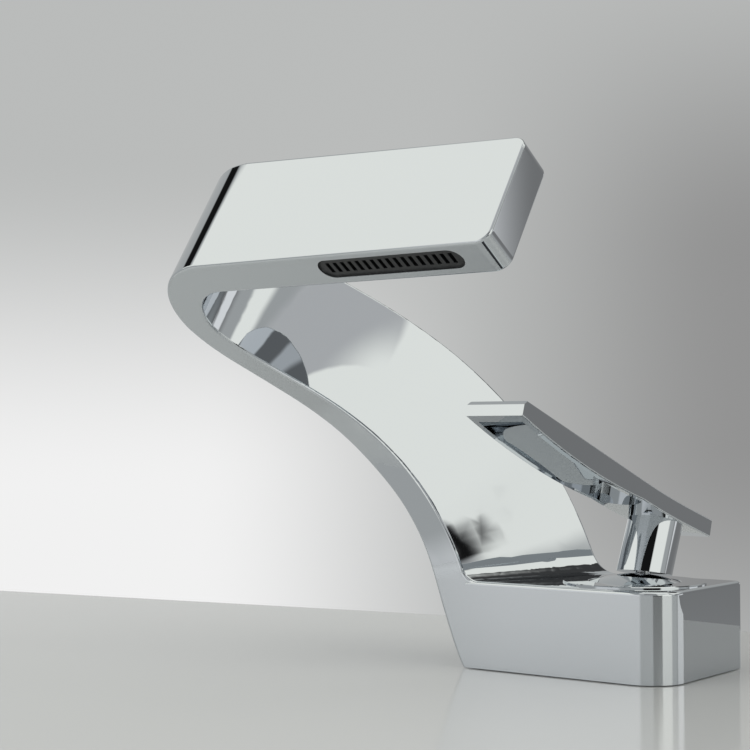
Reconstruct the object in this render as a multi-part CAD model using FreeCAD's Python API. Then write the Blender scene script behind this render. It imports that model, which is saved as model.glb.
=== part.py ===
import FreeCAD, Part
import math
import os
from FreeCAD import Vector

# Waterfall basin mixer: a chromed base block, a flat band that rises from its left end,
# folds over at the left and comes back above as a wide lip with a slot outlet, and a
# single lever that lifts to open and turns to mix.  Millimetres, +Z up.  The origin is
# the middle of the deck hole, on the plane of the basin deck (z = 0): the axis of the
# shank and of the cartridge.

# ---- base block --------------------------------------------------------------------------------
base_length = 73.5
base_depth = 55.0
base_height = 28.2
base_middle_x = -11.5       # middle of the block, from the shank's axis
base_middle_y = -0.5
left_lean_front = 11.5      # how far the left end leans out at the top, front corner
left_lean_back = 1.25       # the same at the back corner
left_lean_power = 0.85      # 1 is a straight lean, less bows it outwards
front_corner_radius = 12.0
back_corner_radius = 2.5
base_edge_radius = 1.2

# ---- band: foot, lower leg, fold, upper leg (the lip) ------------------------------------------
band_edge_radius = 1.0
foot_thickness_front = 12.66
foot_thickness_back = 22.3
foot_lean = 0.3476          # sideways run for each unit of rise at the foot
foot_pull = 56.2            # length of the lower control arm of the leg's curve
fold_pull = 35.9            # length of the upper control arm
leg_mid_width = 50.96
leg_mid_rise = 13.31        # degrees by which the middle of the leg twists upwards
leg_thickness = 12.07
fold_inner_radius = 19.74
fold_turn = 105.6           # degrees
lip_reach = 38.5            # lip's front line ahead of the base's front face
lip_height = 133.575        # lip's front line above the deck
lip_end_x = -12.86
lip_length = 118.67
lip_width_fold = 47.27
lip_width_end = 42.09
lip_thickness = 14.9
lip_slope = 57.0            # degrees between the lip's broad face and level
lip_corner_radius = 5.0
root_radius_front = 6.0     # hollow where the leg meets the base's top
root_radius_back = 10.0
waterway_wall = 3.0

# ---- slot outlet -------------------------------------------------------------------------------
outlet_from_end = 12.54
outlet_length = 56.6
outlet_height = 9.0
outlet_from_edge = 2.5
insert_depth = 6.2
insert_recess = 0.6
insert_rim = 1.3
seal_width = 0.7
comb_slots = 17
comb_slot_width = 1.5

# ---- cartridge ---------------------------------------------------------------------------------
pivot_depth = 14.2          # lever's pivot below the base's top
drive_arm = 8.4             # pivot to the ball that drives the ceramic disc
rest_lift = 19.0            # degrees; the lever is shown fully open
socket_floor = 0.9          # carrier's wall under the ball's socket
ball_clearance = 0.1
housing_radius = 13.0
housing_wall = 1.8
turner_play = 0.3           # turner's flange under the housing's lip
housing_lip = 1.7
bore_clearance = 0.05
port_plate_flange = 1.4
port_plate_spigot = 1.0
disc_thickness_fixed = 3.0
disc_thickness_moving = 2.6
moving_disc_radius = 7.6
port_x = 3.4
port_y = 4.0
port_radius = 1.9
port_seal_width = 1.3
port_seal_height = 1.1
carrier_plate = 1.6
carrier_gap = 0.4           # carrier's plate to the turner
carrier_block_x = 10.0
carrier_block_y = 10.0
carrier_block_height = 4.4
slide_clearance = 0.1
turner_flange_height = 4.2
turner_radius = 9.65
turner_slot_x = 8.2
turner_slot_y = 13.0
window_width = 10.0
window_height = 3.5
window_above_disc = 1.1     # windows' lower edge above the fixed disc
gallery_radius = 15.2
ring_section = 0.9          # radial depth of the seal grooves
ring_height = 1.2
lock_nut_radius = 15.95
lock_nut_height = 5.0
lock_nut_opening = 10.0
pin_radius = 1.5
pin_clearance = 0.02

# ---- cover ring and dome -----------------------------------------------------------------------
cover_radius = 23.0
cover_rise = 0.6
cover_edge = 0.25           # bevel of the ring's outer and inner edges
cover_opening = 14.7
cover_thread_radius = 17.95
cover_thread_length = 8.2
dome_rise = 2.6             # low dome: its middle above its rim
dome_rim_drop = 0.3         # dome's rim below the cover ring's top
dome_wall = 1.6
dome_web = 2.0
dome_hub_height = 3.0
dome_hub_wall = 1.8
dome_gap = 0.3              # stem to dome, and dome skirt to cover ring
glide_ring_width = 1.2
glide_ring_height = 2.0
glide_ring_rise = 1.5
glide_clearance = 0.06

# ---- lever -------------------------------------------------------------------------------------
lever_top = 41.5            # plate's top above the pivot
lever_front = 100.5
lever_back = 24.4
lever_width = 19.4
lever_front_thickness = 4.9
lever_belly_thickness = 7.5
lever_tail_thickness = 6.0
lever_belly_y = -55.0
lever_bend_y = -8.0         # where the tail turns up
lever_bend = 3.5            # degrees
lever_bend_half = 16.0      # half length of the soft bend
lever_lip_bevel = 1.5
lever_edge_radius = 0.5
lever_wall = 2.2
lever_skin = 2.8
pocket_front_gap = 4.0
pocket_ramp = 26.0          # length over which the pocket deepens from the tip
pocket_ramp_bow = 0.5
pocket_back = 22.0
pocket_bow = 4.0            # pocket's end is bowed round the stem
stem_radius = 9.0
stem_rake = 7.0             # degrees by which the stem leans back from the plate's square
stem_offset = -1.3
stem_bottom = 17.95         # stem's lower end above the pivot, on the spindle
stem_bottom_slant = 9.0     # degrees; the end clears the cover ring when the lever is open
spindle_radius = 2.5
spindle_boss_radius = 4.2
spindle_boss_width = 8.0
spindle_neck_radius = 2.2
spindle_ball_radius = 2.5
spindle_top = 34.0
spindle_clearance = 0.05
screw_height = 27.0         # grub screw above the pivot, along the stem
screw_radius = 2.5
screw_flat = 0.4
plug_thickness = 1.6
plug_recess = 0.8

# ---- under the deck ----------------------------------------------------------------------------
shank_radius = 15.9
shank_length = 38.0
shank_wall = 3.0
inlet_spacing = 12.4
inlet_radius = 4.5
inlet_plate_bottom = -24.0
inlet_depth = 11.5
deck_thickness = 15.0
rubber_washer_height = 3.0
steel_washer_height = 2.0
washer_radius = 22.0
washer_clearance = 0.2
nut_height = 8.0
nut_across_flats = 42.0
thread_clearance = 0.08
gasket_edge = 3.0           # from the base's outline to the gasket
gasket_width = 3.0
gasket_height = 1.5
gasket_clearance = 0.1

X = Vector(1, 0, 0)
Y = Vector(0, 1, 0)
Z = Vector(0, 0, 1)


# ---- small shape functions ---------------------------------------------------------------------
def unit(v):
    w = Vector(v)
    w.normalize()
    return w


def cylinder(radius, z0, z1, x=0.0, y=0.0):
    return Part.makeCylinder(radius, z1 - z0, Vector(x, y, z0))


def tube(outer, inner, z0, z1):
    return cylinder(outer, z0, z1).cut(cylinder(inner, z0 - 1.0, z1 + 1.0))


def block(x0, x1, y0, y1, z0, z1):
    return Part.makeBox(x1 - x0, y1 - y0, z1 - z0, Vector(x0, y0, z0))


def polygon(points):
    return Part.Face(Part.makePolygon(points + [points[0]]))


def rounded_wire(corners, radii):
    """Closed outline of straight runs with an arc at each corner."""
    starts = []
    ends = []
    middles = []
    count = len(corners)
    for i in range(count):
        back = unit(corners[i - 1] - corners[i])
        ahead = unit(corners[(i + 1) % count] - corners[i])
        half = back.getAngle(ahead) / 2
        reach = radii[i] / math.tan(half)
        starts.append(corners[i] + back * reach)
        ends.append(corners[i] + ahead * reach)
        inward = radii[i] / math.sin(half) - radii[i]
        middles.append(corners[i] + unit(back + ahead) * inward)
    edges = []
    for i in range(count):
        edges.append(Part.Arc(starts[i], middles[i], ends[i]).toShape())
        edges.append(Part.LineSegment(ends[i], starts[(i + 1) % count]).toShape())
    return Part.Wire(edges)


def stadium(length, height, origin, along, across, depth_dir, depth):
    """Bar with round ends: centre of its start face, its long and short directions."""
    r = height / 2
    a = origin - along * (length / 2 - r)
    b = origin + along * (length / 2 - r)
    edges = [
        Part.LineSegment(a - across * r, b - across * r).toShape(),
        Part.Arc(b - across * r, b + along * r, b + across * r).toShape(),
        Part.LineSegment(b + across * r, a + across * r).toShape(),
        Part.Arc(a + across * r, a - along * r, a - across * r).toShape(),
    ]
    return Part.Face(Part.Wire(edges)).extrude(depth_dir * depth)


def revolved(profile):
    """Solid of revolution about Z from (radius, height) corners."""
    face = polygon([Vector(r, 0, z) for r, z in profile])
    return face.revolve(Vector(0, 0, 0), Z, 360)


def lifted(shape):
    """Lever parts are made about the pivot with the stem upright, then leant back."""
    moved = shape.copy()
    moved.rotate(Vector(0, 0, 0), X, -rest_lift)
    moved.translate(Vector(0, 0, pivot_height))
    return moved


parts = {}

# ---- base block --------------------------------------------------------------------------------
base_left = base_middle_x - base_length / 2
base_right = base_middle_x + base_length / 2
base_front = base_middle_y - base_depth / 2
base_back = base_middle_y + base_depth / 2

# heights of the cartridge's stack, all counted from the lever's pivot
pivot_height = base_height - pivot_depth
ball_height = pivot_height - drive_arm
socket_radius = spindle_ball_radius + ball_clearance
socket_bottom = ball_height - socket_radius - ball_clearance
moving_top = socket_bottom - socket_floor
fixed_top = moving_top - disc_thickness_moving
spigot_top = fixed_top - disc_thickness_fixed
flange_top = spigot_top - port_plate_spigot
bore_floor = flange_top - port_plate_flange
carrier_top = moving_top + carrier_plate
turner_bottom = carrier_top + carrier_gap
turner_flange_top = turner_bottom + turner_flange_height
housing_top = turner_flange_top + turner_play + housing_lip
foot_front = Vector(base_left - left_lean_front + foot_thickness_front, base_front, base_height)
foot_back = Vector(base_left - left_lean_back + foot_thickness_back, base_back, base_height)
foot_run = unit(foot_back - foot_front)


def base_outline(z):
    share = (z / base_height) ** left_lean_power
    corners = [
        Vector(base_left - left_lean_front * share, base_front, z),
        Vector(base_right, base_front, z),
        Vector(base_right, base_back, z),
        Vector(base_left - left_lean_back * share, base_back, z),
    ]
    radii = [band_edge_radius, front_corner_radius, back_corner_radius, band_edge_radius]
    return rounded_wire(corners, radii)


def near_foot_line(edge):
    return all(abs((v.Point - foot_front).cross(foot_run).z) < 0.001 for v in edge.Vertexes)


leaning = Part.makeLoft([base_outline(base_height * k / 5) for k in range(6)], True, False)
far = base_length
start = foot_front - foot_run * far
stop = foot_back + foot_run * far
left_side = polygon([
    Vector(start.x, start.y, -1),
    Vector(stop.x, stop.y, -1),
    Vector(stop.x - 2 * far, stop.y, -1),
    Vector(start.x - 2 * far, start.y, -1),
]).extrude(Z * (base_height + 2))
left_end = leaning.common(left_side)

right_part = polygon([
    Vector(foot_front.x, base_front, 0),
    Vector(base_right, base_front, 0),
    Vector(base_right, base_back, 0),
    Vector(foot_back.x, base_back, 0),
]).extrude(Z * base_height)
for corner_y, radius in ((base_front, front_corner_radius), (base_back, back_corner_radius)):
    upright = []
    for edge in right_part.Edges:
        if all((v.Point - Vector(base_right, corner_y, v.Point.z)).Length < 1e-6 for v in edge.Vertexes):
            upright.append(edge)
    right_part = right_part.makeFillet(radius, upright)
top_edges = []
for edge in right_part.Edges:
    if edge.BoundBox.ZMin > base_height - 1e-6 and not near_foot_line(edge):
        top_edges.append(edge)
right_part = right_part.makeFillet(base_edge_radius, top_edges)
body = left_end.fuse(right_part)

# ---- upper leg: a flat bar whose front band faces down and forward -----------------------------
slope = math.radians(lip_slope)
lip_w = Vector(0, math.cos(slope), math.sin(slope))     # across the lip, front to back
lip_t = Vector(0, math.sin(slope), -math.cos(slope))    # through the lip, outer to inner side
fold_x = lip_end_x - lip_length
lip_start = Vector(fold_x, base_front - lip_reach, lip_height)


def lip_point(x, w, t):
    return lip_start + X * x + lip_w * w + lip_t * t


lip = polygon([
    lip_point(0, 0, 0),
    lip_point(lip_length, 0, 0),
    lip_point(lip_length, lip_width_end, 0),
    lip_point(0, lip_width_fold, 0),
]).extrude(lip_t * lip_thickness)
ends = []
for edge in lip.Edges:
    runs = [(v.Point - lip_start) for v in edge.Vertexes]
    if all(abs(r.dot(X) - lip_length) < 1e-6 for r in runs) and abs((runs[0] - runs[1]).dot(lip_t)) > 1:
        ends.append(edge)
lip = lip.makeFillet(lip_corner_radius, ends)
outline = []
for edge in lip.Edges:
    runs = [(v.Point - lip_start) for v in edge.Vertexes]
    flat = abs((runs[0] - runs[1]).dot(lip_t)) < 1e-6
    if flat and max(r.dot(X) for r in runs) > 1e-6:
        outline.append(edge)
lip = lip.makeFillet(band_edge_radius, outline)
lip_root = [f for f in lip.Faces if abs((f.CenterOfMass - lip_start).dot(X)) < 1e-6][0].OuterWire

# ---- fold and lower leg: sections given by front-outer, front-inner, back-inner, back-outer ----
fold_centre = lip_start + lip_t * (fold_inner_radius + lip_thickness)


def turned(angle):
    """Direction from the fold's centre line to the band, after a turn from the lip."""
    return lip_t * -math.cos(angle) - X * math.sin(angle)


def fold_corners(share, wall=0.0):
    spoke = turned(math.radians(fold_turn) * share)
    ease = share * share * (3 - 2 * share)
    thickness = lip_thickness + (leg_thickness - lip_thickness) * ease
    inner = fold_centre + spoke * (fold_inner_radius + wall)
    outer = fold_centre + spoke * (fold_inner_radius + thickness - wall)
    near = lip_w * wall
    away = lip_w * (lip_width_fold - wall)
    return [outer + near, inner + near, inner + away, outer + away]


fold_end = fold_corners(1.0)[1]
end_angle = math.radians(fold_turn)
fold_heading = lip_t * math.sin(end_angle) - X * math.cos(end_angle)
curve = [
    foot_front,
    foot_front + unit(Vector(-foot_lean, 0, 1)) * foot_pull,
    fold_end + fold_heading * fold_pull,
    fold_end,
]
foot_width = (foot_back - foot_front).Length
mid_across = unit(foot_run + lip_w + Z * math.tan(math.radians(leg_mid_rise)))


def leg_corners(u, wall=0.0):
    v = 1 - u
    inner = curve[0] * v ** 3 + curve[1] * (3 * u * v * v) + curve[2] * (3 * u * u * v) + curve[3] * u ** 3
    heading = (curve[1] - curve[0]) * (v * v) + (curve[2] - curve[1]) * (2 * u * v)
    heading = unit(heading + (curve[3] - curve[2]) * (u * u))
    across = unit(foot_run * (v * v) + mid_across * (2 * u * v) + lip_w * (u * u))
    through = unit(across.cross(heading))
    if through.dot(Vector(1, 0, 0.6)) < 0:
        through = through * -1
    square = v ** 4 * (1 + 4 * u)
    through = unit(through * (1 - square) + X * square)
    mid_thickness = (foot_thickness_front + leg_thickness) / 2
    thickness = foot_thickness_front * v * v + mid_thickness * 2 * u * v + leg_thickness * u * u
    width = foot_width * v * v + leg_mid_width * 2 * u * v + lip_width_fold * u * u
    back_thickness = thickness + (foot_thickness_back - foot_thickness_front) * v ** 3
    near = inner + across * wall
    away = inner + across * (width - wall)
    return [
        near - through * (thickness - wall),
        near - through * wall,
        away - through * wall,
        away - through * (back_thickness - wall),
    ]


leg_steps = 12
fold_steps = 8
wires = []
for k in range(leg_steps):
    wires.append(rounded_wire(leg_corners((k / leg_steps) ** 1.25), [band_edge_radius] * 4))
for k in range(fold_steps):
    wires.append(rounded_wire(fold_corners(1 - k / fold_steps), [band_edge_radius] * 4))
wires.append(lip_root)
leg = Part.makeLoft(wires, True, False)
body = body.fuse(leg).fuse(lip)


# hollow fillet where the leg's inner face meets the base's top
def root_section(corner, up, root_radius):
    sink = 0.6
    half = up.getAngle(X) / 2
    reach = root_radius / math.tan(half)
    hollow = root_radius / math.sin(half) - root_radius
    low = corner + X * reach
    high = corner + up * reach
    middle = corner + unit(up + X) * hollow
    inside = Vector(-sink, 0, 0)
    below = Vector(0, 0, -sink)
    edges = [
        Part.Arc(low, middle, high).toShape(),
        Part.LineSegment(high, high + inside).toShape(),
        Part.LineSegment(high + inside, corner + inside + below).toShape(),
        Part.LineSegment(corner + inside + below, low + below).toShape(),
        Part.LineSegment(low + below, low).toShape(),
    ]
    return Part.Wire(edges)


back_rise = leg_corners(0.02)[2] - leg_corners(0.0)[2]
front_rise = leg_corners(0.02)[1] - leg_corners(0.0)[1]
root_strip = Part.makeLoft([
    root_section(foot_front, unit(Vector(front_rise.x, 0, front_rise.z)), root_radius_front),
    root_section(foot_back, unit(Vector(back_rise.x, 0, back_rise.z)), root_radius_back),
], True, True)
strip_ends = []
for edge in root_strip.Edges:
    if edge.Curve.TypeId != "Part::GeomLine" and edge.BoundBox.YLength < 1e-3:
        strip_ends.append(edge)
root_strip = root_strip.makeFillet(base_edge_radius * 0.9, strip_ends)
body = body.fuse(root_strip)

# ---- shank below the deck ----------------------------------------------------------------------
body = body.fuse(cylinder(shank_radius, -shank_length, 1.0))

# ---- bores on the tap's axis -------------------------------------------------------------------
bore_radius = housing_radius + bore_clearance
lock_thread = lock_nut_radius + thread_clearance
cover_thread = cover_thread_radius + thread_clearance
cover_step = base_height - cover_thread_length - 2.0
cuts = [
    cylinder(bore_radius, bore_floor, base_height + 1),
    cylinder(lock_thread, housing_top, base_height + 1),
    cylinder(cover_thread, cover_step, base_height + 1),
]
window_bottom = fixed_top + window_above_disc
gallery_top = housing_top - housing_lip - 1.0
cuts.append(cylinder(gallery_radius, window_bottom - 0.2, gallery_top))

# passage from the cartridge's gallery to a well under the leg, and up into the band
passage_width = 14.0
passage_bottom = 3.2
passage_top = gallery_top + 1.0
foot_middle_x = (foot_front.x + foot_back.x) / 2
well_right = foot_middle_x - waterway_wall
well_left = base_left + 1.6
cuts.append(block(well_left, -gallery_radius + 3, -passage_width / 2, passage_width / 2,
                  passage_bottom, passage_top))
cuts.append(block(well_left, well_right, -passage_width / 2, passage_width / 2,
                  passage_bottom, base_height + 0.5))

water_radius = 0.8
water_wires = []
for k in range(leg_steps):
    water_wires.append(rounded_wire(leg_corners(k / leg_steps, waterway_wall), [water_radius] * 4))
for k in range(fold_steps + 1):
    water_wires.append(rounded_wire(fold_corners(1 - k / fold_steps, waterway_wall), [water_radius] * 4))
cuts.append(Part.makeLoft(water_wires, True, False))
w = waterway_wall
cuts.append(polygon([
    lip_point(-0.2, w, w),
    lip_point(lip_length - w - 1, w, w),
    lip_point(lip_length - w - 1, lip_width_end - w, w),
    lip_point(-0.2, lip_width_fold - w, w),
]).extrude(lip_t * (lip_thickness - 2 * w)))

# slot outlet in the front band
outlet_x = lip_length - outlet_from_end - outlet_length / 2
outlet_t = outlet_from_edge + outlet_height / 2
outlet_stop = insert_recess + insert_depth
cuts.append(stadium(outlet_length, outlet_height, lip_point(outlet_x, -1, outlet_t),
                    X, lip_t, lip_w, outlet_stop + 1.0))

# inlets and ports in the shank
port_hole = port_radius + 0.4
for side in (-1, 1):
    cuts.append(cylinder(inlet_radius, inlet_plate_bottom - 1, inlet_plate_bottom + inlet_depth,
                         side * inlet_spacing / 2, 0))
    cuts.append(cylinder(port_hole, inlet_plate_bottom + inlet_depth - 1.5, bore_floor + 1,
                         side * port_x, port_y))
cuts.append(cylinder(shank_radius - shank_wall, -shank_length - 1, inlet_plate_bottom))

# gasket groove in the underside
gasket_outer = gasket_edge
gasket_inner = gasket_edge + gasket_width


def gasket_prism(inset, radius, z0, z1):
    corners = [
        Vector(base_left + inset, base_front + inset, z0),
        Vector(base_right - inset, base_front + inset, z0),
        Vector(base_right - inset, base_back - inset, z0),
        Vector(base_left + inset, base_back - inset, z0),
    ]
    return Part.Face(rounded_wire(corners, [radius] * 4)).extrude(Z * (z1 - z0))


groove = gasket_prism(gasket_outer, front_corner_radius - gasket_outer, -1, gasket_height)
groove = groove.cut(gasket_prism(gasket_inner, front_corner_radius - gasket_inner, -2, gasket_height + 1))
cuts.append(groove)
for tool in cuts:
    body = body.cut(tool)
parts["faucet_body"] = body

gap = gasket_clearance
gasket = gasket_prism(gasket_outer + gap, front_corner_radius - gasket_outer - gap, 0, gasket_height)
gasket = gasket.cut(gasket_prism(gasket_inner - gap, front_corner_radius - gasket_inner + gap,
                                 -1, gasket_height + 1))
parts["base_gasket"] = gasket

# ---- outlet: a dark comb insert in a thin seal -------------------------------------------------
seal_fit = 0.05
seal_length = outlet_length - 2 * seal_fit
seal_height = outlet_height - 2 * seal_fit
face = lip_point(outlet_x, insert_recess, outlet_t)
outlet_seal = stadium(seal_length, seal_height, face, X, lip_t, lip_w, insert_depth)
outlet_seal = outlet_seal.cut(stadium(seal_length - 2 * seal_width, seal_height - 2 * seal_width,
                                      face - lip_w, X, lip_t, lip_w, insert_depth + 2))
parts["outlet_seal"] = outlet_seal
comb_length = seal_length - 2 * seal_width - 2 * seal_fit
comb_height = seal_height - 2 * seal_width - 2 * seal_fit
comb = stadium(comb_length, comb_height, face, X, lip_t, lip_w, insert_depth)
pitch = (comb_length - comb_height / 2) / comb_slots
slot_height = comb_height - 2 * insert_rim
for k in range(comb_slots):
    middle = face - lip_w + X * (pitch * (k - (comb_slots - 1) / 2))
    corner = middle - X * (comb_slot_width / 2) - lip_t * (slot_height / 2)
    slot = polygon([
        corner,
        corner + X * comb_slot_width,
        corner + X * comb_slot_width + lip_t * slot_height,
        corner + lip_t * slot_height,
    ]).extrude(lip_w * (insert_depth + 2))
    comb = comb.cut(slot)
parts["outlet_insert"] = comb

# ---- cartridge: port plate, discs, carrier, housing, lock nut ----------------------------------
housing_inner = housing_radius - housing_wall
disc_radius = housing_inner - slide_clearance
port_plate = cylinder(housing_radius, bore_floor, flange_top).fuse(
    cylinder(disc_radius, flange_top, spigot_top))
fixed_disc = cylinder(disc_radius, spigot_top, fixed_top)
seal_outer = port_radius + port_seal_width
for side, name in ((-1, "port_seal_left"), (1, "port_seal_right")):
    x = side * port_x
    port_plate = port_plate.cut(cylinder(port_radius, bore_floor - 1, spigot_top + 1, x, port_y))
    port_plate = port_plate.cut(cylinder(seal_outer + seal_fit, bore_floor - 1,
                                         bore_floor + port_seal_height, x, port_y))
    fixed_disc = fixed_disc.cut(cylinder(port_radius, spigot_top - 1, fixed_top + 1, x, port_y))
    seal = cylinder(seal_outer, bore_floor, bore_floor + port_seal_height, x, port_y)
    seal = seal.cut(cylinder(port_radius, bore_floor - 1, bore_floor + 2, x, port_y))
    parts[name] = seal
parts["cartridge_port_plate"] = port_plate
parts["fixed_disc"] = fixed_disc

lip_opening = turner_radius + slide_clearance
housing = tube(housing_radius, housing_inner, flange_top, housing_top)
housing = housing.fuse(tube(housing_radius, lip_opening, housing_top - housing_lip, housing_top))
for turn in range(4):
    window = block(-window_width / 2, window_width / 2, 0, housing_radius + 1,
                   window_bottom, window_bottom + window_height)
    window.rotate(Vector(0, 0, 0), Z, 90 * turn)
    housing = housing.cut(window)
ring_bottom = housing_top - (housing_lip + ring_height) / 2
ring_top = ring_bottom + ring_height
housing = housing.cut(tube(housing_radius + 1, housing_radius - ring_section, ring_bottom, ring_top))
parts["cartridge_housing"] = housing
parts["housing_seal"] = tube(housing_radius + bore_clearance / 2, housing_radius - ring_section,
                                    ring_bottom, ring_top)

lock_nut = tube(lock_nut_radius, lock_nut_opening, housing_top, housing_top + lock_nut_height)
for turn in range(4):
    notch = block(lock_nut_radius - 3, lock_nut_radius + 1, -1.5, 1.5,
                  housing_top + lock_nut_height - 2, housing_top + lock_nut_height + 1)
    notch.rotate(Vector(0, 0, 0), Z, 90 * turn + 45)
    lock_nut = lock_nut.cut(notch)
parts["cartridge_lock_nut"] = lock_nut

# sliding disc and its carrier, pushed back by the lever's lift
slide = -drive_arm * math.radians(rest_lift)
block_top = carrier_top + carrier_block_height
carrier = cylinder(moving_disc_radius, moving_top, carrier_top).fuse(
    block(-carrier_block_x / 2, carrier_block_x / 2, -carrier_block_y / 2, carrier_block_y / 2,
          carrier_top - 0.1, block_top))
carrier = carrier.cut(cylinder(socket_radius, socket_bottom, block_top + 1))
carrier = carrier.cut(block(-socket_radius, socket_radius, -socket_radius - 0.9, socket_radius + 0.9,
                            ball_height + 1.0, block_top + 1))
carrier.translate(Vector(0, slide, 0))
parts["disc_carrier"] = carrier
moving_disc = cylinder(moving_disc_radius, fixed_top, moving_top)
moving_disc.translate(Vector(0, slide, 0))
parts["moving_disc"] = moving_disc

# ---- turner: carries the pivot pin and turns the discs -----------------------------------------
dome_seat = base_height - cover_thread_length + dome_web
turner = cylinder(housing_inner - slide_clearance, turner_bottom, turner_flange_top)
turner = turner.fuse(cylinder(turner_radius, turner_flange_top - 0.1, dome_seat))
pocket_x = carrier_block_x / 2 + slide_clearance
pocket_y = carrier_block_y / 2 + 3 * slide_clearance
turner = turner.cut(block(-pocket_x, pocket_x, slide - pocket_y, pocket_y,
                          turner_bottom - 1, block_top + 0.3))
turner = turner.cut(block(-turner_slot_x / 2, turner_slot_x / 2, -turner_slot_y / 2, turner_slot_y / 2,
                          turner_bottom, dome_seat + 1))
pin_length = 2 * turner_radius - 0.8
pin_hole = Part.makeCylinder(pin_radius + pin_clearance, 2 * turner_radius + 2,
                             Vector(-turner_radius - 1, 0, pivot_height), X)
turner = turner.cut(pin_hole)
turner_seal_bottom = housing_top - housing_lip + (housing_lip - ring_height) / 2
turner = turner.cut(tube(turner_radius + 1, turner_radius - ring_section,
                         turner_seal_bottom, turner_seal_bottom + ring_height))
parts["turner"] = turner
parts["turner_seal"] = tube(turner_radius + slide_clearance / 2, turner_radius - ring_section,
                                   turner_seal_bottom, turner_seal_bottom + ring_height)
parts["pivot_pin"] = Part.makeCylinder(pin_radius, pin_length,
                                              Vector(-pin_length / 2, 0, pivot_height), X)

# ---- dome: turns with the turner, its slot lets the spindle lean -------------------------------
cover_top = base_height + cover_rise
skirt = cover_opening - dome_gap
inner_skirt = skirt - dome_wall
hub_fit = turner_radius + spindle_clearance
dome_rim = cover_top - dome_rim_drop
dome_apex = dome_rim + dome_rise
dome_radius = (skirt ** 2 + dome_rise ** 2) / (2 * dome_rise)
dome_middle = Vector(0, 0, dome_apex - dome_radius)
dome_shell = Part.makeSphere(dome_radius, dome_middle)
dome_shell = dome_shell.cut(Part.makeSphere(dome_radius - dome_wall, dome_middle))
dome_shell = dome_shell.common(cylinder(skirt, dome_rim - 1.3 * dome_wall, dome_apex + 1))
web_bottom = dome_seat - dome_web
dome = tube(skirt, inner_skirt, web_bottom, dome_rim - 0.3 * dome_wall)
dome = dome.fuse(tube(skirt, hub_fit, web_bottom, dome_seat))
dome = dome.fuse(tube(hub_fit + dome_hub_wall, hub_fit, web_bottom - dome_hub_height, dome_seat))
dome = dome.fuse(dome_shell)
lean = math.radians(rest_lift)
slot_half = spindle_radius + dome_gap
slot_reach = (dome_apex - pivot_height) * math.tan(lean)
slot = cylinder(slot_half, dome_seat + 1, dome_apex + 1)
slot = slot.fuse(cylinder(slot_half, dome_seat + 1, dome_apex + 1, 0, slot_reach))
slot = slot.fuse(block(-slot_half, slot_half, 0, slot_reach, dome_seat + 1, dome_apex + 1))
dome = dome.cut(slot)
parts["dome_cap"] = dome

# ---- cover ring and its glide ring -------------------------------------------------------------
cover_bottom = base_height - cover_thread_length
cover = revolved([
    (cover_opening, cover_bottom),
    (cover_thread_radius, cover_bottom),
    (cover_thread_radius, base_height),
    (cover_radius, base_height),
    (cover_radius, cover_top - cover_edge),
    (cover_radius - cover_edge, cover_top),
    (cover_opening + cover_edge, cover_top),
    (cover_opening, cover_top - cover_edge),
])
glide_bottom = cover_bottom + glide_ring_rise
glide_outer = cover_opening + glide_ring_width
cover = cover.cut(tube(glide_outer, cover_opening - 1, glide_bottom, glide_bottom + glide_ring_height))
parts["cover_ring"] = cover
parts["glide_ring"] = tube(glide_outer, skirt + glide_clearance, glide_bottom,
                                  glide_bottom + glide_ring_height)

# ---- lever: plate and stem in one casting ------------------------------------------------------
half_width = lever_width / 2
bend = math.radians(lever_bend)


def bent_line(height):
    """Level line that turns up softly at the bend: its first end, the bend's three points, its last end."""
    corner = Vector(-half_width, lever_bend_y, height)
    tail = Vector(0, math.cos(bend), math.sin(bend))
    rise = lever_bend_half * math.tan(bend / 2) / 2
    before = corner - Y * lever_bend_half
    after = corner + tail * lever_bend_half
    middle = (corner + Vector(0, -math.sin(bend / 2), math.cos(bend / 2)) * rise)
    last = corner + tail * ((lever_back - lever_bend_y) / math.cos(bend))
    return before, middle, after, last


top_before, top_middle, top_after, top_last = bent_line(lever_top)
low_before, low_middle, low_after, low_last = bent_line(lever_top - lever_tail_thickness)
tip_low = Vector(-half_width, -lever_front, lever_top - lever_front_thickness)
belly = Vector(-half_width, lever_belly_y, lever_top - lever_belly_thickness)
tip_high = Vector(-half_width, -lever_front, lever_top - lever_lip_bevel)
tip_top = Vector(-half_width, -lever_front + lever_lip_bevel, lever_top)
side_view = [
    Part.LineSegment(top_last, top_after).toShape(),
    Part.Arc(top_after, top_middle, top_before).toShape(),
    Part.LineSegment(top_before, tip_top).toShape(),
    Part.LineSegment(tip_top, tip_high).toShape(),
    Part.LineSegment(tip_high, tip_low).toShape(),
    Part.Arc(tip_low, belly, low_before).toShape(),
    Part.Arc(low_before, low_middle, low_after).toShape(),
    Part.LineSegment(low_after, low_last).toShape(),
    Part.LineSegment(low_last, top_last).toShape(),
]
plate = Part.Face(Part.Wire(side_view)).extrude(X * lever_width)
long_edges = []
for edge in plate.Edges:
    box = edge.BoundBox
    if box.XLength < 1e-6 and box.YLength > lever_lip_bevel + 1:
        long_edges.append(edge)
plate = plate.makeFillet(lever_edge_radius, long_edges)

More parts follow.
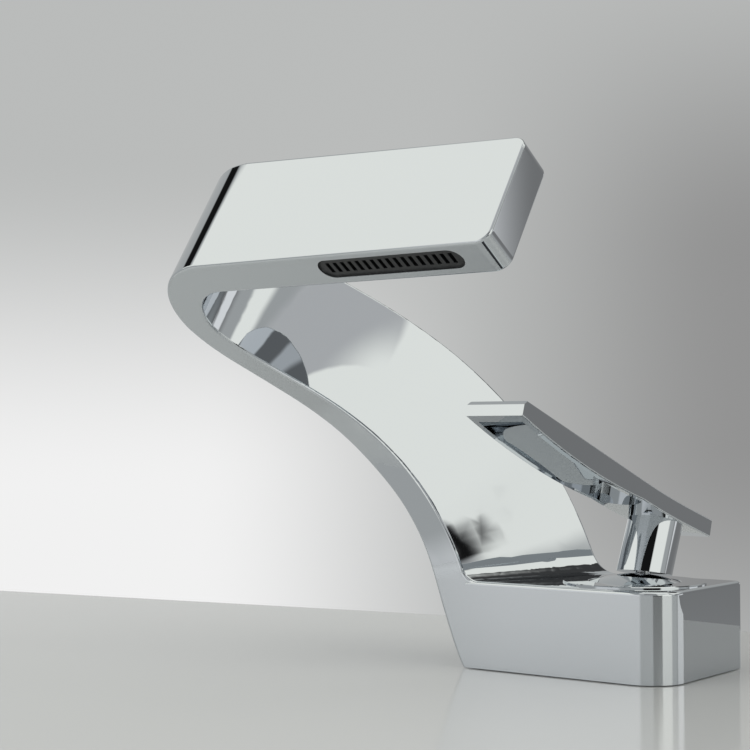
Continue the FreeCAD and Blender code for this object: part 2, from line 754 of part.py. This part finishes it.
# hollow underside: a ramp down from the tip, a flat ceiling, and an end bowed round the stem
pocket_half = half_width - lever_wall
pocket_front = -lever_front + pocket_front_gap
ceiling = lever_top - lever_skin
pocket_mouth = lever_top - 2 * lever_belly_thickness
ramp_foot = Vector(-pocket_half, pocket_front, lever_top - lever_front_thickness)
ramp_middle = Vector(-pocket_half, pocket_front + pocket_ramp * 0.45, ceiling - pocket_ramp_bow)
ramp_end = Vector(-pocket_half, pocket_front + pocket_ramp, ceiling)
ceiling_end = Vector(-pocket_half, 0, ceiling)
mouth_end = Vector(-pocket_half, 0, pocket_mouth)
mouth_front = Vector(-pocket_half, pocket_front, pocket_mouth)
pocket_side = [
    Part.Arc(ramp_foot, ramp_middle, ramp_end).toShape(),
    Part.LineSegment(ramp_end, ceiling_end).toShape(),
    Part.LineSegment(ceiling_end, mouth_end).toShape(),
    Part.LineSegment(mouth_end, mouth_front).toShape(),
    Part.LineSegment(mouth_front, ramp_foot).toShape(),
]
pocket = Part.Face(Part.Wire(pocket_side)).extrude(X * (2 * pocket_half))
pocket_plan = [
    Part.LineSegment(Vector(-pocket_half, -lever_front, 0), Vector(pocket_half, -lever_front, 0)),
    Part.LineSegment(Vector(pocket_half, -lever_front, 0), Vector(pocket_half, -pocket_back, 0)),
    Part.Arc(Vector(pocket_half, -pocket_back, 0), Vector(0, -pocket_back + pocket_bow, 0),
             Vector(-pocket_half, -pocket_back, 0)),
    Part.LineSegment(Vector(-pocket_half, -pocket_back, 0), Vector(-pocket_half, -lever_front, 0)),
]
pocket = pocket.common(Part.Face(Part.Wire([e.toShape() for e in pocket_plan])).extrude(Z * lever_top))
plate = plate.cut(pocket)

rake = math.radians(stem_rake)
stem_heading = Vector(0, math.sin(rake), math.cos(rake))
stem_foot = Vector(0, stem_offset, 0)
stem = Part.makeCylinder(stem_radius, ceiling + 1, stem_foot, stem_heading)
below = block(-2 * stem_radius, 2 * stem_radius, -3 * stem_radius, 3 * stem_radius, -2 * stem_bottom, 0)
below.rotate(Vector(0, 0, 0), X, stem_bottom_slant)
below.translate(Z * stem_bottom)
stem = stem.cut(below)
above = block(-2 * stem_radius, 2 * stem_radius, -3 * stem_radius, 3 * stem_radius, ceiling, ceiling + 20)
stem = stem.cut(above)
handle = plate.fuse(stem)
handle = handle.cut(cylinder(spindle_radius + spindle_clearance, 0, spindle_top + 0.3))
screw_hole = Part.makeCylinder(screw_radius + spindle_clearance, 2 * stem_radius,
                               Vector(0, 0, screw_height), Y)
handle = handle.cut(screw_hole)
parts["lever_handle"] = lifted(handle)

spindle = cylinder(spindle_radius, 0, spindle_top)
spindle = spindle.fuse(cylinder(spindle_neck_radius, -drive_arm, 0))
spindle = spindle.fuse(Part.makeSphere(spindle_ball_radius, Vector(0, 0, -drive_arm)))
boss = Part.makeCylinder(spindle_boss_radius, spindle_boss_width, Vector(-spindle_boss_width / 2, 0, 0), X)
spindle = spindle.fuse(boss)
spindle = spindle.cut(Part.makeCylinder(pin_radius + pin_clearance, spindle_boss_width + 2,
                                        Vector(-spindle_boss_width / 2 - 1, 0, 0), X))
flat_y = spindle_radius - screw_flat
spindle = spindle.cut(block(-spindle_radius, spindle_radius, flat_y, spindle_radius + 1,
                            screw_height - screw_radius - 1, spindle_top + 1))
parts["spindle"] = lifted(spindle)

stem_rear = stem_offset + screw_height * math.tan(rake) + stem_radius / math.cos(rake)
plug_outer = stem_rear - plug_recess
plug_inner = plug_outer - plug_thickness
grub_length = plug_inner - 0.4 - flat_y
grub = Part.makeCylinder(screw_radius, grub_length, Vector(0, flat_y, screw_height), Y)
hex_radius = screw_radius * 0.5
hexagon = []
for k in range(6):
    angle = math.radians(60 * k)
    hexagon.append(Vector(hex_radius * math.cos(angle), flat_y + grub_length - 2.0,
                          screw_height + hex_radius * math.sin(angle)))
grub = grub.cut(polygon(hexagon).extrude(Y * 3))
parts["grub_screw"] = lifted(grub)
parts["screw_plug"] = lifted(Part.makeCylinder(screw_radius, plug_thickness,
                                               Vector(0, plug_inner, screw_height), Y))

# ---- fixing under the deck ---------------------------------------------------------------------
rubber_top = -deck_thickness
steel_top = rubber_top - rubber_washer_height
nut_top = steel_top - steel_washer_height
washer_hole = shank_radius + washer_clearance
parts["rubber_washer"] = tube(washer_radius, washer_hole, steel_top, rubber_top)
parts["steel_washer"] = tube(washer_radius, washer_hole, nut_top, steel_top)
nut_corner = nut_across_flats / 2 / math.cos(math.radians(30))
hexagon = []
for k in range(6):
    angle = math.radians(60 * k + 30)
    hexagon.append(Vector(nut_corner * math.cos(angle), nut_corner * math.sin(angle), nut_top - nut_height))
nut = polygon(hexagon).extrude(Z * nut_height)
nut = nut.cut(cylinder(shank_radius + thread_clearance, nut_top - nut_height - 1, nut_top + 1))
parts["back_nut"] = nut

# ---- write the pieces --------------------------------------------------------------------------
os.makedirs("parts", exist_ok=True)
for name, shape in parts.items():
    solid = shape
    if shape.ShapeType == "Compound" and len(shape.Solids) == 1:
        solid = shape.Solids[0]
    print(name, solid.isValid(), len(solid.Solids), round(solid.Volume, 1))
    solid.exportStep("parts/" + name + ".step")
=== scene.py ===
import bpy
import math
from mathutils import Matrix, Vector

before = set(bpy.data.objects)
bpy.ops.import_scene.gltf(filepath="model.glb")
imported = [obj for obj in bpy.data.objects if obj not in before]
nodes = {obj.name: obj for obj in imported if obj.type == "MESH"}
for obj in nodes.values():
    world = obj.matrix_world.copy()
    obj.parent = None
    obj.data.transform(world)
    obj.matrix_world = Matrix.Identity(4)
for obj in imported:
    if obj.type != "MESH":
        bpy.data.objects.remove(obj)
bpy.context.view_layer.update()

# --- Body ------------------------------------------------------------------
# The whole spout, leg and base: one brass casting, ground and mirror polished,
# then plated with nickel and chrome. Its shank goes down through the deck.
chrome_colour = (0.60, 0.63, 0.655)
noise_detail = 3.0
noise_darkest = 0.3
noise_brightest = 0.7

# No real surface is perfectly even: chrome keeps a wiped film, moulded plastic
# its fine grain, turned brass its tool lines. This group gives one such
# pattern, and each material sets its own scale, stretch and amount.
grain = bpy.data.node_groups.new("surface_grain", "ShaderNodeTree")
grain_ports = [
    ("Scale", "INPUT", 60.0),
    ("Stretch", "INPUT", 1.0),
    ("Low", "INPUT", 0.2),
    ("High", "INPUT", 0.4),
    ("Roughness", "OUTPUT", 0.0),
    ("Height", "OUTPUT", 0.0),
]
for port_name, port_side, port_value in grain_ports:
    port = grain.interface.new_socket(port_name, in_out=port_side, socket_type="NodeSocketFloat")
    if port_side == "INPUT":
        port.default_value = port_value
grain_in = grain.nodes.new("NodeGroupInput")
grain_out = grain.nodes.new("NodeGroupOutput")
grain_place = grain.nodes.new("ShaderNodeTexCoord")
grain_squeeze = grain.nodes.new("ShaderNodeCombineXYZ")
grain_squeeze.inputs["X"].default_value = 1.0
grain_squeeze.inputs["Y"].default_value = 1.0
grain_scaled = grain.nodes.new("ShaderNodeVectorMath")
grain_scaled.operation = "MULTIPLY"
grain_noise = grain.nodes.new("ShaderNodeTexNoise")
grain_noise.inputs["Detail"].default_value = noise_detail
grain_range = grain.nodes.new("ShaderNodeMapRange")
grain_range.inputs["From Min"].default_value = noise_darkest
grain_range.inputs["From Max"].default_value = noise_brightest
grain.links.new(grain_in.outputs["Stretch"], grain_squeeze.inputs["Z"])
grain.links.new(grain_place.outputs["Object"], grain_scaled.inputs[0])
grain.links.new(grain_squeeze.outputs["Vector"], grain_scaled.inputs[1])
grain.links.new(grain_scaled.outputs["Vector"], grain_noise.inputs["Vector"])
grain.links.new(grain_in.outputs["Scale"], grain_noise.inputs["Scale"])
grain.links.new(grain_noise.outputs["Fac"], grain_range.inputs["Value"])
grain.links.new(grain_in.outputs["Low"], grain_range.inputs["To Min"])
grain.links.new(grain_in.outputs["High"], grain_range.inputs["To Max"])
grain.links.new(grain_range.outputs["Result"], grain_out.inputs["Roughness"])
grain.links.new(grain_noise.outputs["Fac"], grain_out.inputs["Height"])


def dress(pieces, finish_name, colour, metallic, scale, stretch, smoothest, roughest):
    """Put a new material with the grain in its polish on the pieces."""
    finish = bpy.data.materials.new(finish_name)
    finish.use_nodes = True
    shade = finish.node_tree.nodes["Principled BSDF"]
    shade.inputs["Base Color"].default_value = (*colour, 1)
    shade.inputs["Metallic"].default_value = metallic
    pattern = finish.node_tree.nodes.new("ShaderNodeGroup")
    pattern.node_tree = grain
    pattern.inputs["Scale"].default_value = scale
    pattern.inputs["Stretch"].default_value = stretch
    pattern.inputs["Low"].default_value = smoothest
    pattern.inputs["High"].default_value = roughest
    finish.node_tree.links.new(pattern.outputs["Roughness"], shade.inputs["Roughness"])
    for piece in pieces:
        nodes[piece].data.materials.clear()
        nodes[piece].data.materials.append(finish)
    return finish


dress(
    ["faucet_body"],
    "chrome_body",
    colour=chrome_colour,
    metallic=1.0,
    scale=22.0,
    stretch=1.0,
    smoothest=0.012,
    roughest=0.03,
)

# --- Gasket and seals ------------------------------------------------------
# Black rubber, moulded: a flat gasket under the base keeps water off the deck
# hole, small rings seal the outlet, the cartridge and its ports, and a washer
# lies under the deck.
seals = ["base_gasket", "outlet_seal", "port_seal_left", "port_seal_right"]
seals += ["housing_seal", "turner_seal", "rubber_washer"]


def roughen(finish, strength, distance):
    """Let the grain of a material also stand up as a fine relief."""
    shade = finish.node_tree.nodes["Principled BSDF"]
    pattern = finish.node_tree.nodes["Group"]
    relief = finish.node_tree.nodes.new("ShaderNodeBump")
    relief.inputs["Strength"].default_value = strength
    relief.inputs["Distance"].default_value = distance
    finish.node_tree.links.new(pattern.outputs["Height"], relief.inputs["Height"])
    finish.node_tree.links.new(relief.outputs["Normal"], shade.inputs["Normal"])


black_rubber = dress(
    seals,
    "black_rubber",
    colour=(0.018, 0.018, 0.019),
    metallic=0.0,
    scale=900.0,
    stretch=1.0,
    smoothest=0.5,
    roughest=0.7,
)
roughen(black_rubber, strength=0.15, distance=0.0002)

# --- Outlet comb -----------------------------------------------------------
# A black plastic insert that sits in a thin seal in the slot of the lip; its
# comb of narrow slots spreads the water into a flat sheet.
black_plastic = dress(
    ["outlet_insert"],
    "black_plastic",
    colour=(0.012, 0.013, 0.014),
    metallic=0.0,
    scale=1400.0,
    stretch=1.0,
    smoothest=0.28,
    roughest=0.42,
)
roughen(black_plastic, strength=0.1, distance=0.0001)

# --- Cartridge housing -----------------------------------------------------
# Grey moulded plastic: the port plate with its two inlets, the housing round
# the discs, whose windows let the mixed water out, and the stem's little plug.
grey_plastic = dress(
    ["cartridge_port_plate", "cartridge_housing", "screw_plug"],
    "grey_plastic",
    colour=(0.33, 0.34, 0.35),
    metallic=0.0,
    scale=1200.0,
    stretch=1.0,
    smoothest=0.35,
    roughest=0.5,
)
roughen(grey_plastic, strength=0.1, distance=0.0001)

# --- Ceramic discs ---------------------------------------------------------
# Two discs of fine alumina, lapped flat: the lower one is fixed, the upper
# one slides and turns on it to set flow and mix.
dress(
    ["fixed_disc", "moving_disc"],
    "ceramic",
    colour=(0.78, 0.77, 0.73),
    metallic=0.0,
    scale=2000.0,
    stretch=1.0,
    smoothest=0.18,
    roughest=0.26,
)

# --- Turner and carrier ----------------------------------------------------
# White acetal: the turner holds the spindle's pin, the carrier takes the
# moving disc along, and the glide ring steadies the dome's skirt.
white_plastic = dress(
    ["turner", "disc_carrier", "glide_ring"],
    "white_plastic",
    colour=(0.74, 0.74, 0.72),
    metallic=0.0,
    scale=1500.0,
    stretch=1.0,
    smoothest=0.3,
    roughest=0.42,
)
roughen(white_plastic, strength=0.08, distance=0.0001)

# --- Brass nuts ------------------------------------------------------------
# Turned brass with fine tool lines: the lock nut that holds the cartridge down
# and the back nut that pulls the tap to the deck from below.
brass = dress(
    ["cartridge_lock_nut", "back_nut"],
    "brass",
    colour=(0.73, 0.55, 0.26),
    metallic=1.0,
    scale=260.0,
    stretch=9.0,
    smoothest=0.22,
    roughest=0.36,
)
roughen(brass, strength=0.12, distance=0.0002)

# --- Steel pieces ----------------------------------------------------------
# Stainless steel, turned and stamped: the spindle with its ball, the pivot
# pin, the grub screw in the stem and the washer under the deck.
steel = dress(
    ["spindle", "pivot_pin", "grub_screw", "steel_washer"],
    "steel",
    colour=(0.56, 0.57, 0.58),
    metallic=1.0,
    scale=340.0,
    stretch=6.0,
    smoothest=0.2,
    roughest=0.34,
)
roughen(steel, strength=0.08, distance=0.0001)

# --- Cover ring and dome ---------------------------------------------------
# Two thin chromed covers over the cartridge: the ring screws into the base,
# the low dome turns with the lever and has a slot for the spindle.
dress(
    ["cover_ring", "dome_cap"],
    "chrome_trim",
    colour=chrome_colour,
    metallic=1.0,
    scale=30.0,
    stretch=1.0,
    smoothest=0.015,
    roughest=0.035,
)

# --- Lever -----------------------------------------------------------------
# One zinc casting with plate and stem, hollow below, polished and chromed; it
# slips over the spindle and the grub screw behind the stem holds it.
dress(
    ["lever_handle"],
    "chrome_lever",
    colour=chrome_colour,
    metallic=1.0,
    scale=26.0,
    stretch=1.0,
    smoothest=0.012,
    roughest=0.03,
)

# --- Counter ---------------------------------------------------------------
# The pale basin top on which the tap stands: one flat, softly polished face
# just under the base, with its back edge across the picture.
counter_top = -0.0003
counter_back = [(-1.2, -0.120), (-0.3755, 0.0508), (-0.016, 0.1187), (1.2, 0.340)]
counter_front = -1.6
counter_colour = (0.66, 0.67, 0.67)
counter_roughness = 0.10

counter_corners = []
for back_x, back_y in counter_back:
    counter_corners.append((back_x, back_y, counter_top))
for back_x, back_y in reversed(counter_back):
    counter_corners.append((back_x, counter_front, counter_top))
counter_mesh = bpy.data.meshes.new("counter")
counter_mesh.from_pydata(counter_corners, [], [tuple(range(len(counter_corners)))])
counter = bpy.data.objects.new("counter", counter_mesh)
bpy.context.scene.collection.objects.link(counter)
counter_finish = bpy.data.materials.new("counter")
counter_finish.use_nodes = True
counter_shade = counter_finish.node_tree.nodes["Principled BSDF"]
counter_shade.inputs["Base Color"].default_value = (*counter_colour, 1)
counter_shade.inputs["Roughness"].default_value = counter_roughness
counter_mesh.materials.append(counter_finish)

# --- Studio ----------------------------------------------------------------
# A soft tent round the tap, drawn by direction: a pale wall behind it, a white
# roof, white panels and some dark flags, which the chrome mirrors.
wall_colour = (0.49, 0.50, 0.495)
warm_blue = 0.94            # share of blue in the panels that are brighter than 1

# Each row: azimuth, elevation, half width, half height and softness in
# degrees, lean in degrees of azimuth per degree of elevation, then brightness.
# Later rows lie over earlier ones.
studio_panels = [
    (138, -5, 10, 9, 12, 0, 0.88),
    (112, 3, 8, 9, 12, 0, 0.29),
    (68, 6, 36, 16, 12, 0, 0.24),
    (46, 8, 11, 5, 3, 0, 1.00),
    (80, 8, 6, 6, 4, 0, 0.80),
    (38, 46, 28, 18, 8, 0, 1.12),
    (82, 48, 30, 8, 3, 0, 0.06),
    (180, 84, 200, 28, 10, 0, 1.14),
    (298, 64, 44, 20, 10, 0, 0.60),
    (218, 44, 34, 24, 7, 0, 1.14),
    (254, 8, 20, 11, 8, 0, 0.90),
    (174, 34, 6, 9, 3, 0, 0.01),
    (306, 39, 21, 7, 2, 0, 0.01),
    (350, 20, 22, 20, 5, 0, 1.15),
    (326, 3, 14, 7, 4, 0, 0.02),
    (20.2, 41, 6, 12, 1.6, 0.38, 0.36),
    (25.7, 42, 0.9, 8, 1.5, 0.36, 0.01),
]
world = bpy.data.worlds.new("studio")
bpy.context.scene.world = world
world.use_nodes = True
tree = world.node_tree
look = tree.nodes.new("ShaderNodeTexCoord").outputs["Generated"]


def along(vector):
    """How far the direction of view goes along a vector."""
    node = tree.nodes.new("ShaderNodeVectorMath")
    node.operation = "DOT_PRODUCT"
    node.inputs[1].default_value = vector
    tree.links.new(look, node.inputs[0])
    return node.outputs["Value"]


def combine(operation, first, second=None):
    """A math node fed with sockets or plain numbers."""
    node = tree.nodes.new("ShaderNodeMath")
    node.operation = operation
    for socket, value in zip(node.inputs, (first, second)):
        if isinstance(value, float):
            socket.default_value = value
        elif value is not None:
            tree.links.new(value, socket)
    return node.outputs[0]


def window(value, half, soft):
    """1 where the value is within half of zero, 0 beyond, with a soft edge."""
    node = tree.nodes.new("ShaderNodeMapRange")
    node.interpolation_type = "SMOOTHSTEP"
    tree.links.new(combine("ABSOLUTE", value), node.inputs["Value"])
    node.inputs["From Min"].default_value = math.radians(half - soft / 2)
    node.inputs["From Max"].default_value = math.radians(half + soft / 2)
    node.inputs["To Min"].default_value = 1.0
    node.inputs["To Max"].default_value = 0.0
    return node.outputs["Result"]


wall = tree.nodes.new("ShaderNodeRGB")
wall.outputs["Color"].default_value = (*wall_colour, 1)
tone = wall.outputs["Color"]
height = combine("ARCSINE", along((0, 0, 1)))
for azimuth, elevation, half_width, half_height, soft, lean, level in studio_panels:
    turn = math.radians(azimuth)
    ahead = along((math.cos(turn), math.sin(turn), 0))
    aside = along((-math.sin(turn), math.cos(turn), 0))
    above = combine("SUBTRACT", height, math.radians(elevation))
    leaning = combine("MULTIPLY", above, float(lean))
    sideways = combine("SUBTRACT", combine("ARCTAN2", aside, ahead), leaning)
    across = window(sideways, half_width, soft)
    upward = window(above, half_height, soft)
    blue = level * warm_blue if level > 1 else level
    panel = tree.nodes.new("ShaderNodeMix")
    panel.data_type = "RGBA"
    tree.links.new(combine("MULTIPLY", across, upward), panel.inputs["Factor"])
    tree.links.new(tone, panel.inputs["A"])
    panel.inputs["B"].default_value = (level, level, blue, 1)
    tone = panel.outputs["Result"]
tree.links.new(tone, tree.nodes["Background"].inputs["Color"])

# --- Lamp ------------------------------------------------------------------
# One wide soft lamp over the front left brightens the counter towards the
# viewer; it is out of the picture and the chrome doesn't mirror it.
lamp_size = (0.7, 0.5)
lamp_power = 1.4
lamp_place = Vector((-0.35, -0.75, 0.6))
lamp_target = Vector((-0.15, -0.25, 0))

lamp_data = bpy.data.lights.new("front_lamp", "AREA")
lamp_data.shape = "RECTANGLE"
lamp_data.size = lamp_size[0]
lamp_data.size_y = lamp_size[1]
lamp_data.energy = lamp_power
lamp = bpy.data.objects.new("front_lamp", lamp_data)
lamp.location = lamp_place
lamp.rotation_euler = (lamp_target - lamp_place).to_track_quat("-Z", "Y").to_euler()
lamp.visible_camera = False
lamp.visible_glossy = False
bpy.context.scene.collection.objects.link(lamp)

# --- Camera ----------------------------------------------------------------
# Low and to the front right, looking up a little, as in the photograph.
camera_place = (0.24848, -0.46442, 0.075745)
camera_tilt = math.radians(92.163)
camera_turn = math.radians(37.32)
camera_lens = 76.8
camera_sensor = 36.0

camera_data = bpy.data.cameras.new("camera")
camera_data.lens = camera_lens
camera_data.sensor_width = camera_sensor
camera = bpy.data.objects.new("camera", camera_data)
camera.location = camera_place
camera.rotation_euler = (camera_tilt, 0, camera_turn)
bpy.context.scene.collection.objects.link(camera)
bpy.context.scene.camera = camera
bpy.context.scene.view_settings.view_transform = "Standard"
